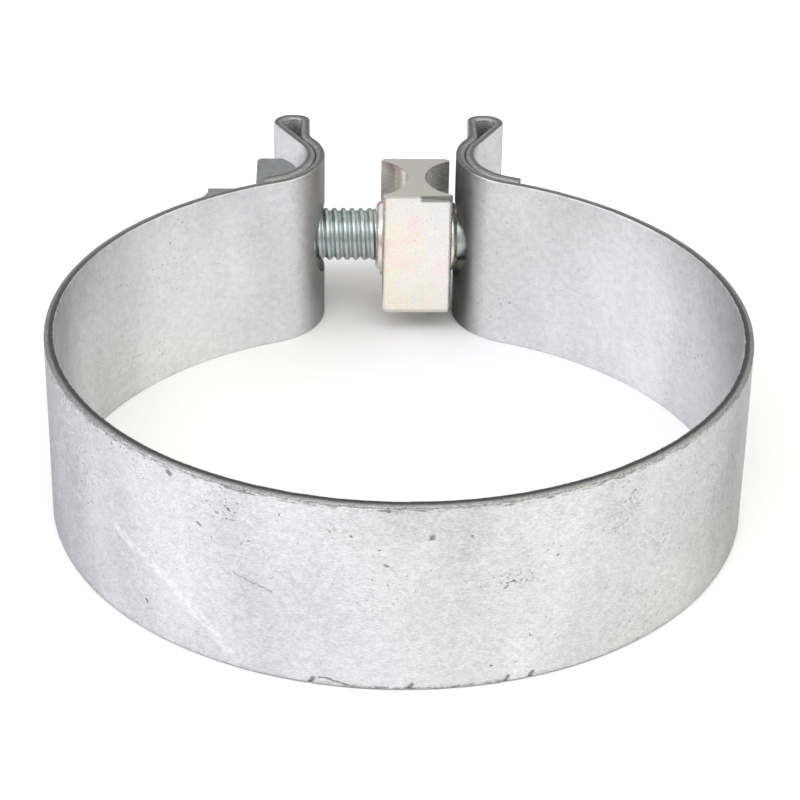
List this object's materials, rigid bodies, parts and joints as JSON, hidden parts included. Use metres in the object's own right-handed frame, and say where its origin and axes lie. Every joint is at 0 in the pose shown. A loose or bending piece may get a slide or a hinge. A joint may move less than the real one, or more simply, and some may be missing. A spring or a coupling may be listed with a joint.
{
  "type": "pipe repair clamp",
  "caption": "Single-bolt steel band clamp: a split ring with folded ears, a fluted block between them, half-round bars, a bolt and a lock nut.",
  "frame": {"origin": "on the pipe's axis, half way up the band's width", "axes": "+Z along the pipe, +Y from the pipe's axis towards the bolt, +X along the bolt towards its head"},
  "size_m": [0.1124, 0.1369, 0.0318],
  "materials": {
    "band": "dull aluminised steel sheet",
    "block": "zinc plate with a pale iridescent passivation",
    "bars": "plated, satin",
    "bolt": "clear zinc plate",
    "nut": "clear zinc plate"
  },
  "bodies": {
    "band": {"band_front": "band"},
    "right_arm": {"band_right_arm": "band"},
    "left_arm": {"band_left_arm": "band"},
    "block": {"reaction_block": "block"},
    "nut_bar": {"nut_side_bar": "bars"},
    "nut": {"lock_nut": "nut"},
    "head_bar": {"head_side_bar": "bars"},
    "bolt": {"bolt": "bolt"}
  },
  "joints": [
    {"name": "right_arm_flex", "type": "hinge", "parent": "band", "child": "right_arm", "pos_m": [0.04052, -0.03778, 0], "axis": [0, 0, 1], "range_deg": [0, 4.26]},
    {"name": "left_arm_flex", "type": "hinge", "parent": "band", "child": "left_arm", "pos_m": [-0.04052, -0.03778, 0], "axis": [0, 0, -1], "range_deg": [0, 4.26]},
    {"name": "block_float", "type": "slide", "parent": "band", "child": "block", "axis": [-0.9584, -0.2854, 0], "range_m": [0, 0.00502]},
    {"name": "nut_bar_draw", "type": "slide", "parent": "band", "child": "nut_bar", "axis": [0.9867, -0.1626, 0], "range_m": [0, 0.00879]},
    {"name": "head_bar_draw", "type": "slide", "parent": "band", "child": "head_bar", "axis": [-0.9867, -0.1626, 0], "range_m": [0, 0.00881]},
    {"name": "nut_turn", "type": "hinge", "parent": "nut_bar", "child": "nut", "pos_m": [-0.0286, 0.063, 0], "axis": [1, 0, 0], "range_deg": [0, 3936]},
    {"name": "bolt_turn", "type": "hinge", "parent": "head_bar", "child": "bolt", "pos_m": [0, 0.063, 0], "axis": [1, 0, 0], "continuous": true}
  ],
  "couplings": [
    {"joint": "nut_turn", "follows": "nut_bar_draw", "rad_per_m": 7810.6},
    {"joint": "right_arm_flex", "follows": "nut_bar_draw", "rad_per_m": 8.4359},
    {"joint": "left_arm_flex", "follows": "nut_bar_draw", "rad_per_m": 8.4359},
    {"joint": "block_float", "follows": "nut_bar_draw", "ratio": 0.56958},
    {"joint": "head_bar_draw", "follows": "nut_bar_draw", "ratio": 1}
  ]
}
